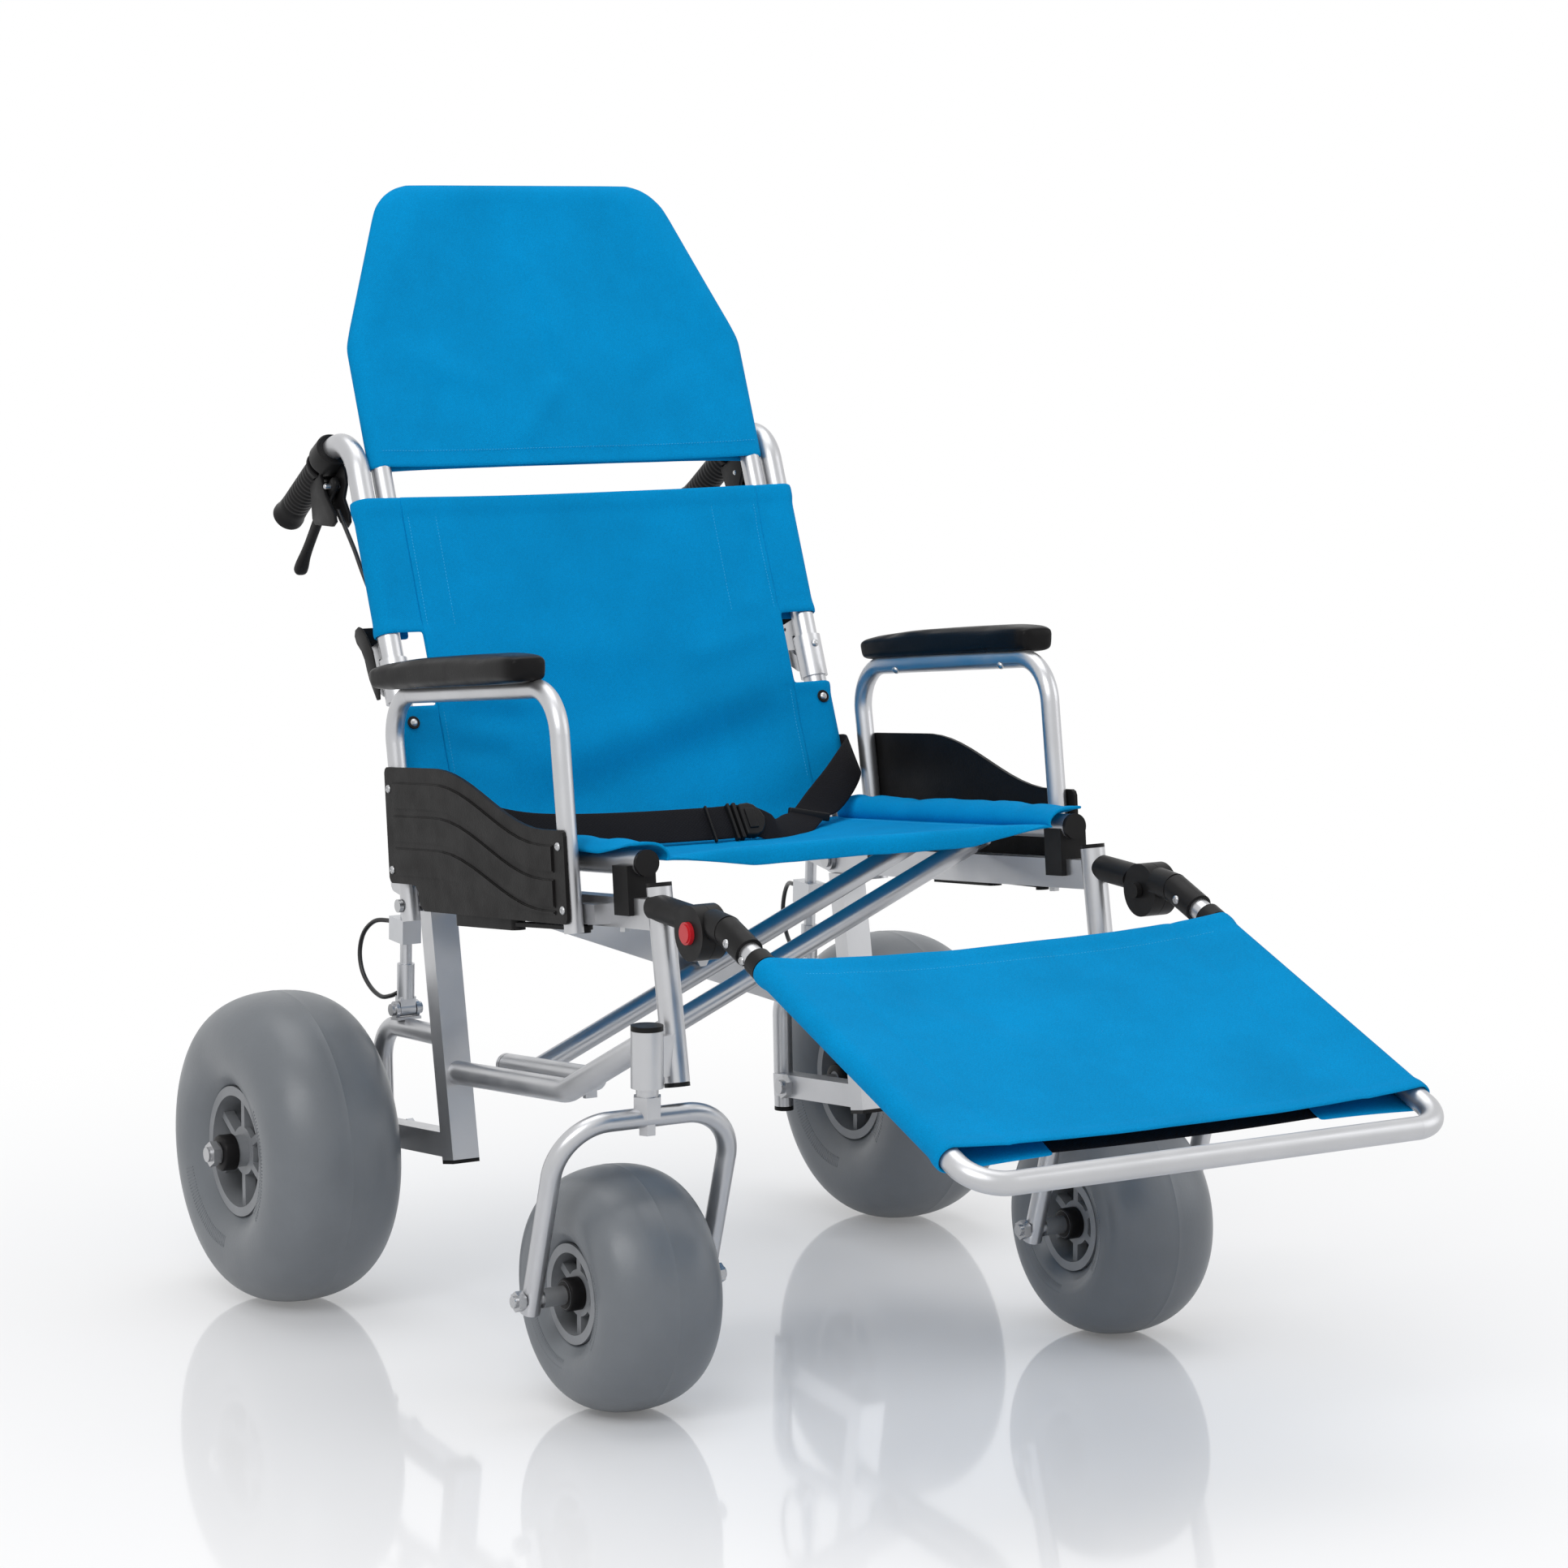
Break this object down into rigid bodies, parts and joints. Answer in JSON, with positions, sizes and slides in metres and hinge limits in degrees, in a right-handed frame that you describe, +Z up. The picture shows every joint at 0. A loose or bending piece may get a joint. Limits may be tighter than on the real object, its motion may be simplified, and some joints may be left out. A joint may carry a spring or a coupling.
{
  "type": "beach wheelchair",
  "caption": "Beach wheelchair with balloon wheels on a tube frame, sling seat, reclining and folding back, sliding head rest, raising leg rest and flip-up arm rests.",
  "frame": {"origin": "on the floor, under the middle of the bounding box", "axes": "+X to the chair's left, +Y towards the back of the chair, +Z up; the chair faces -Y"},
  "size_m": [0.962, 1.4282, 1.2011],
  "materials": {
    "frame_tube": "satin anodised",
    "zinc": "bright zinc",
    "strut_metal": "satin grey",
    "black_plastic": "fine satin",
    "guard_plastic": "grained satin",
    "canvas": "woven, matt",
    "webbing": "woven webbing",
    "tyre": "smooth satin",
    "hub_plastic": "satin moulded",
    "grip_rubber": "ribbed matt",
    "pad_foam": "soft skin",
    "button_red": "gloss",
    "cable_sheath": "satin"
  },
  "bodies": {
    "frame": {"side_rails": "frame_tube", "front_posts": "frame_tube", "lower_rails": "frame_tube", "rear_legs": "frame_tube", "rear_loops": "frame_tube", "seat_tubes": "frame_tube", "cross_braces": "frame_tube", "seat_saddles": "black_plastic", "end_caps": "black_plastic", "frame_fasteners": "zinc", "seat_canvas": "canvas", "seat_belt": "webbing", "belt_buckle": "black_plastic", "leg_joint_right": "black_plastic", "leg_joint_left": "black_plastic"},
    "back_lower": {"lower_canes": "frame_tube", "lower_back_canvas": "canvas", "cable_lower": "cable_sheath"},
    "back_upper": {"upper_canes": "frame_tube", "handle_grips": "grip_rubber", "upper_back_canvas": "canvas", "cable_upper": "cable_sheath"},
    "headrest": {"headrest_tube": "frame_tube", "headrest_canvas": "canvas"},
    "leg_rest": {"leg_rest_tube": "frame_tube", "leg_rest_housings": "black_plastic", "leg_rest_canvas": "canvas"},
    "rear_wheel_right": {"rear_tyre_right": "tyre", "rear_hub_right": "hub_plastic"},
    "caster_right": {"caster_fork_right": "frame_tube", "caster_axle_right": "zinc"},
    "front_wheel_right": {"front_tyre_right": "tyre", "front_hub_right": "hub_plastic"},
    "hand_lever_right": {"hand_lever_right": "black_plastic"},
    "fold_lever_right": {"fold_lever_right": "black_plastic"},
    "strut_cylinder_right": {"strut_cylinder_right": "frame_tube"},
    "strut_rod_right": {"strut_rod_right": "strut_metal", "strut_cable_right": "cable_sheath"},
    "leg_button_right": {"leg_button_right": "button_red"},
    "armrest_right": {"armrest_tube_right": "frame_tube", "arm_pad_right": "pad_foam", "skirt_guard_right": "guard_plastic"},
    "arm_latch_right": {"arm_latch_right": "black_plastic"},
    "rear_wheel_left": {"rear_tyre_left": "tyre", "rear_hub_left": "hub_plastic"},
    "caster_left": {"caster_fork_left": "frame_tube", "caster_axle_left": "zinc"},
    "front_wheel_left": {"front_tyre_left": "tyre", "front_hub_left": "hub_plastic"},
    "hand_lever_left": {"hand_lever_left": "black_plastic"},
    "fold_lever_left": {"fold_lever_left": "black_plastic"},
    "strut_cylinder_left": {"strut_cylinder_left": "frame_tube"},
    "strut_rod_left": {"strut_rod_left": "strut_metal", "strut_cable_left": "cable_sheath"},
    "leg_button_left": {"leg_button_left": "button_red"},
    "armrest_left": {"armrest_tube_left": "frame_tube", "arm_pad_left": "pad_foam", "skirt_guard_left": "guard_plastic"},
    "arm_latch_left": {"arm_latch_left": "black_plastic"}
  },
  "joints": [
    {"name": "back_recline", "type": "hinge", "parent": "frame", "child": "back_lower", "pos_m": [0, 0.36328, 0.44375], "axis": [-1, 0, 0], "range_deg": [-10, 22]},
    {"name": "back_fold", "type": "hinge", "parent": "back_lower", "child": "back_upper", "pos_m": [0, 0.45798, 0.66435], "axis": [-1, 0, 0], "range_deg": [0, 95]},
    {"name": "headrest_slide", "type": "slide", "parent": "back_upper", "child": "headrest", "axis": [0, 0.3714, 0.9285], "range_m": [0, 0.12]},
    {"name": "leg_rest_tilt", "type": "hinge", "parent": "frame", "child": "leg_rest", "pos_m": [0, -0.22894, 0.48613], "axis": [-1, 0, 0], "range_deg": [-34, 28]},
    {"name": "rear_wheel_spin_right", "type": "hinge", "parent": "frame", "child": "rear_wheel_right", "pos_m": [-0.387, 0.454, 0.168], "axis": [1, 0, 0], "continuous": true},
    {"name": "caster_swivel_right", "type": "hinge", "parent": "frame", "child": "caster_right", "pos_m": [-0.294, -0.17805, 0.30116], "axis": [0, 0, 1], "continuous": true},
    {"name": "front_wheel_spin_right", "type": "hinge", "parent": "caster_right", "child": "front_wheel_right", "pos_m": [-0.294, -0.12105, 0.1215], "axis": [1, 0, 0], "continuous": true},
    {"name": "hand_lever_squeeze_right", "type": "hinge", "parent": "back_upper", "child": "hand_lever_right", "pos_m": [-0.2605, 0.58276, 0.86862], "axis": [1, 0, 0], "range_deg": [0, 14], "stiffness_Nm_per_rad": 1, "springref_deg": -17.19},
    {"name": "fold_lever_press_right", "type": "hinge", "parent": "back_upper", "child": "fold_lever_right", "pos_m": [-0.2605, 0.47432, 0.69444], "axis": [1, 0, 0], "range_deg": [0, 8], "stiffness_Nm_per_rad": 0.5, "springref_deg": -17.19},
    {"name": "strut_swing_right", "type": "hinge", "parent": "frame", "child": "strut_cylinder_right", "pos_m": [-0.256, 0.42718, 0.30977], "axis": [-1, 0, 0], "range_deg": [-0.8, 0.5]},
    {"name": "strut_stroke_right", "type": "slide", "parent": "strut_cylinder_right", "child": "strut_rod_right", "axis": [0, -0.0446, 0.999], "range_m": [-0.0225, 0.0105]},
    {"name": "leg_button_press_right", "type": "slide", "parent": "frame", "child": "leg_button_right", "axis": [1, 0, 0], "range_m": [0, 0.004], "stiffness_N_per_m": 400, "springref_m": -0.003},
    {"name": "armrest_flip_right", "type": "hinge", "parent": "frame", "child": "armrest_right", "pos_m": [-0.293, 0.3377, 0.43859], "axis": [-1, 0, 0], "range_deg": [0, 95]},
    {"name": "arm_latch_swing_right", "type": "hinge", "parent": "frame", "child": "arm_latch_right", "pos_m": [-0.275, -0.01648, 0.46391], "axis": [0, 0.0924, 0.9957], "range_deg": [0, 25]},
    {"name": "rear_wheel_spin_left", "type": "hinge", "parent": "frame", "child": "rear_wheel_left", "pos_m": [0.387, 0.454, 0.168], "axis": [1, 0, 0], "continuous": true},
    {"name": "caster_swivel_left", "type": "hinge", "parent": "frame", "child": "caster_left", "pos_m": [0.294, -0.17805, 0.30116], "axis": [0, 0, 1], "continuous": true},
    {"name": "front_wheel_spin_left", "type": "hinge", "parent": "caster_left", "child": "front_wheel_left", "pos_m": [0.294, -0.12105, 0.1215], "axis": [1, 0, 0], "continuous": true},
    {"name": "hand_lever_squeeze_left", "type": "hinge", "parent": "back_upper", "child": "hand_lever_left", "pos_m": [0.2605, 0.58276, 0.86862], "axis": [1, 0, 0], "range_deg": [0, 14], "stiffness_Nm_per_rad": 1, "springref_deg": -17.19},
    {"name": "fold_lever_press_left", "type": "hinge", "parent": "back_upper", "child": "fold_lever_left", "pos_m": [0.2605, 0.47432, 0.69444], "axis": [1, 0, 0], "range_deg": [0, 8], "stiffness_Nm_per_rad": 0.5, "springref_deg": -17.19},
    {"name": "strut_swing_left", "type": "hinge", "parent": "frame", "child": "strut_cylinder_left", "pos_m": [0.256, 0.42718, 0.30977], "axis": [-1, 0, 0], "range_deg": [-0.8, 0.5]},
    {"name": "strut_stroke_left", "type": "slide", "parent": "strut_cylinder_left", "child": "strut_rod_left", "axis": [0, -0.0446, 0.999], "range_m": [-0.0225, 0.0105]},
    {"name": "leg_button_press_left", "type": "slide", "parent": "frame", "child": "leg_button_left", "axis": [-1, 0, 0], "range_m": [0, 0.004], "stiffness_N_per_m": 400, "springref_m": -0.003},
    {"name": "armrest_flip_left", "type": "hinge", "parent": "frame", "child": "armrest_left", "pos_m": [0.293, 0.3377, 0.43859], "axis": [-1, 0, 0], "range_deg": [0, 95]},
    {"name": "arm_latch_swing_left", "type": "hinge", "parent": "frame", "child": "arm_latch_left", "pos_m": [0.275, -0.01648, 0.46391], "axis": [0, -0.0924, -0.9957], "range_deg": [0, 25]}
  ],
  "couplings": [
    {"joint": "strut_swing_right", "follows": "back_recline", "ratio": -0.03},
    {"joint": "strut_stroke_right", "follows": "back_recline", "m_per_rad": -0.0566},
    {"joint": "strut_swing_left", "follows": "back_recline", "ratio": -0.03},
    {"joint": "strut_stroke_left", "follows": "back_recline", "m_per_rad": -0.0566}
  ]
}
